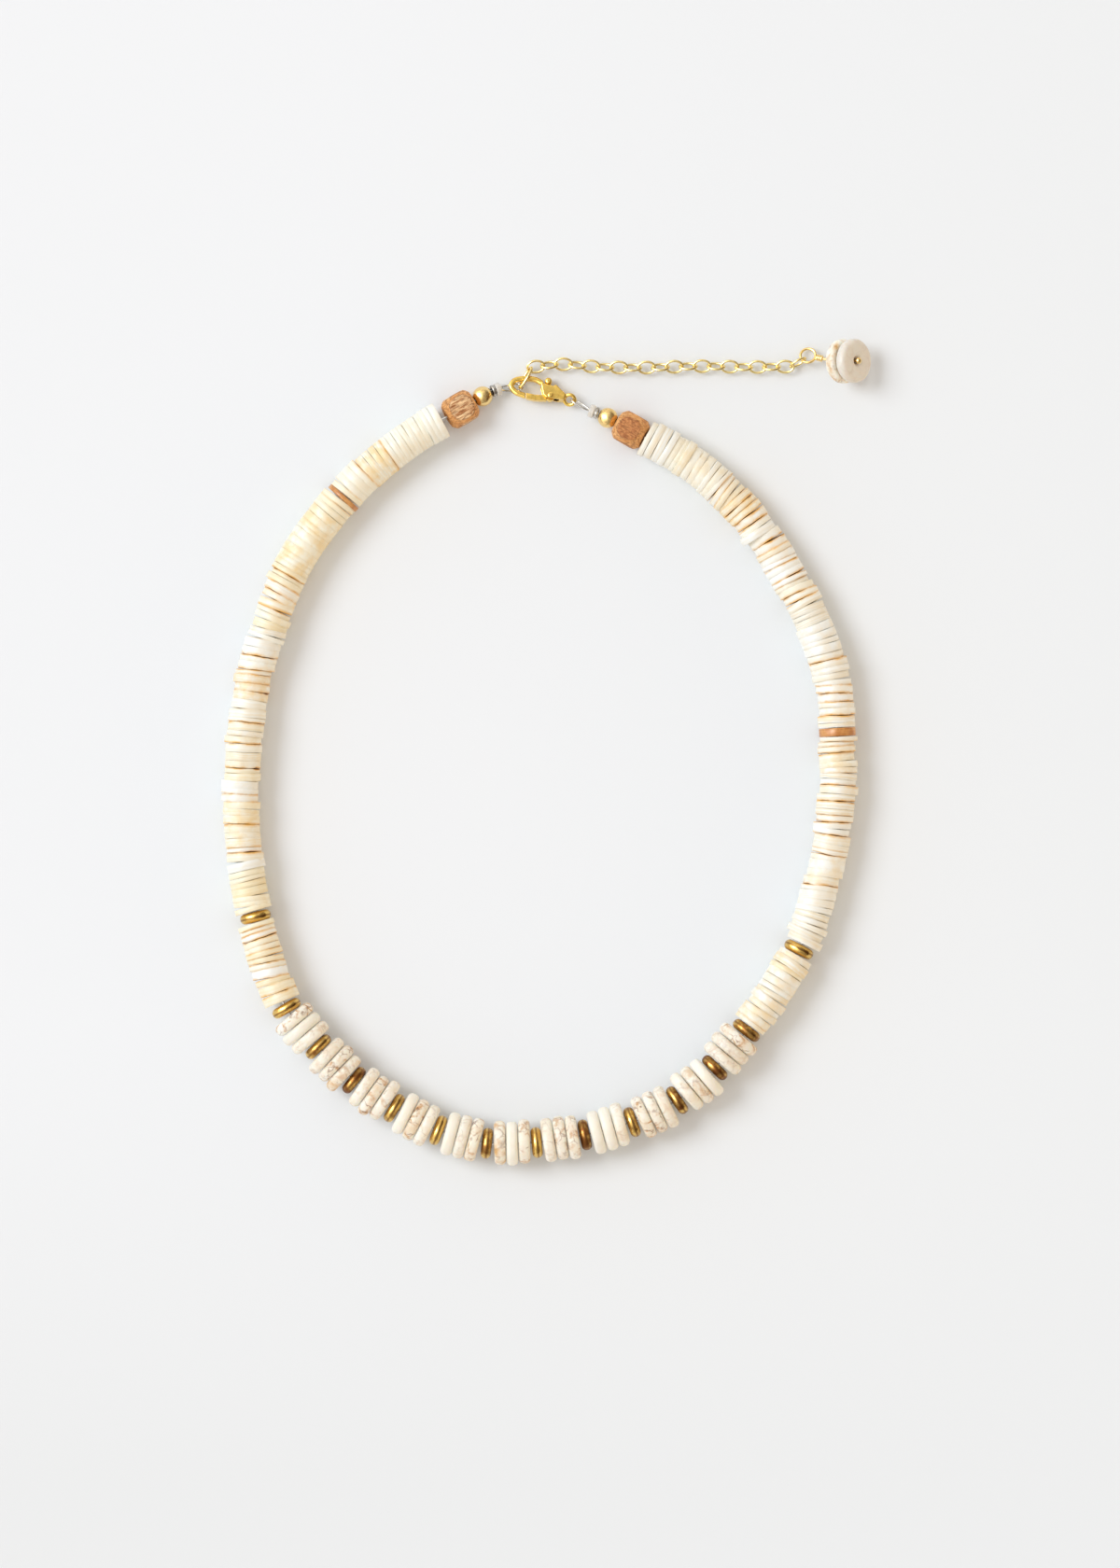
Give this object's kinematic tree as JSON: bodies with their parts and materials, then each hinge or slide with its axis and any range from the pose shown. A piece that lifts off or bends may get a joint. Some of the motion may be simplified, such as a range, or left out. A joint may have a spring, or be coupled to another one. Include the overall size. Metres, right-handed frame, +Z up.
{
  "type": "beaded necklace",
  "caption": "Short beaded necklace of shell discs, stone discs and brass rondelles, fastened by a lobster clasp with an extender chain and a stone drop.",
  "frame": {"origin": "the middle of the whole, seen from above, on the surface that the necklace lies on", "axes": "+Z up from that surface, +Y from the front of the necklace towards its clasp, +X to the right seen from above"},
  "size_m": [0.116, 0.1478, 0.0087],
  "materials": {
    "shell": "satin",
    "brown_shell": "satin",
    "stone": "satin",
    "aged_brass": "satin, unevenly tarnished",
    "wood": "satin",
    "polished_gold": "polished",
    "clasp_gold": "polished",
    "chain_gold": "polished",
    "crimp_steel": "polished",
    "wire_steel": "satin",
    "clear_glass": "polished"
  },
  "bodies": {
    "necklace": {"beading_wire": "wire_steel", "brass_ball_left": "polished_gold", "brass_ball_right": "polished_gold", "brass_rondelle_01": "aged_brass", "brass_rondelle_02": "aged_brass", "brass_rondelle_03": "aged_brass", "brass_rondelle_04": "aged_brass", "brass_rondelle_05": "aged_brass", "brass_rondelle_06": "aged_brass", "brass_rondelle_07": "aged_brass", "brass_rondelle_08": "aged_brass", "brass_rondelle_09": "aged_brass", "brass_rondelle_10": "aged_brass", "brass_rondelle_11": "aged_brass", "brass_rondelle_12": "aged_brass", "brass_rondelle_outer_left": "aged_brass", "brass_rondelle_outer_right": "aged_brass", "brown_disc_left": "brown_shell", "brown_disc_right": "brown_shell", "clasp_body": "clasp_gold", "clear_bead_left": "clear_glass", "clear_bead_right": "clear_glass", "crimp_left": "crimp_steel", "crimp_right": "crimp_steel", "drop_disc_inner": "stone", "drop_disc_outer": "stone", "drop_pin": "chain_gold", "extender_chain": "chain_gold", "shell_discs_left_back": "shell", "shell_discs_left_front": "shell", "shell_discs_left_side": "shell", "shell_discs_right_back": "shell", "shell_discs_right_front": "shell", "shell_discs_right_side": "shell", "stone_discs_01": "stone", "stone_discs_02": "stone", "stone_discs_03": "stone", "stone_discs_04": "stone", "stone_discs_05": "stone", "stone_discs_06": "stone", "stone_discs_07": "stone", "stone_discs_08": "stone", "stone_discs_09": "stone", "stone_discs_10": "stone", "stone_discs_11": "stone", "wood_bead_left": "wood", "wood_bead_right": "wood"},
    "lever": {"clasp_lever": "clasp_gold"}
  },
  "joints": [
    {"name": "clasp_lever_hinge", "type": "hinge", "parent": "necklace", "child": "lever", "pos_m": [0.00052, 0.06363, 0.00187], "axis": [-0.0626, -0.2337, -0.9703], "range_deg": [0, 22], "stiffness_Nm_per_rad": 0.004, "springref_deg": -22.92}
  ]
}
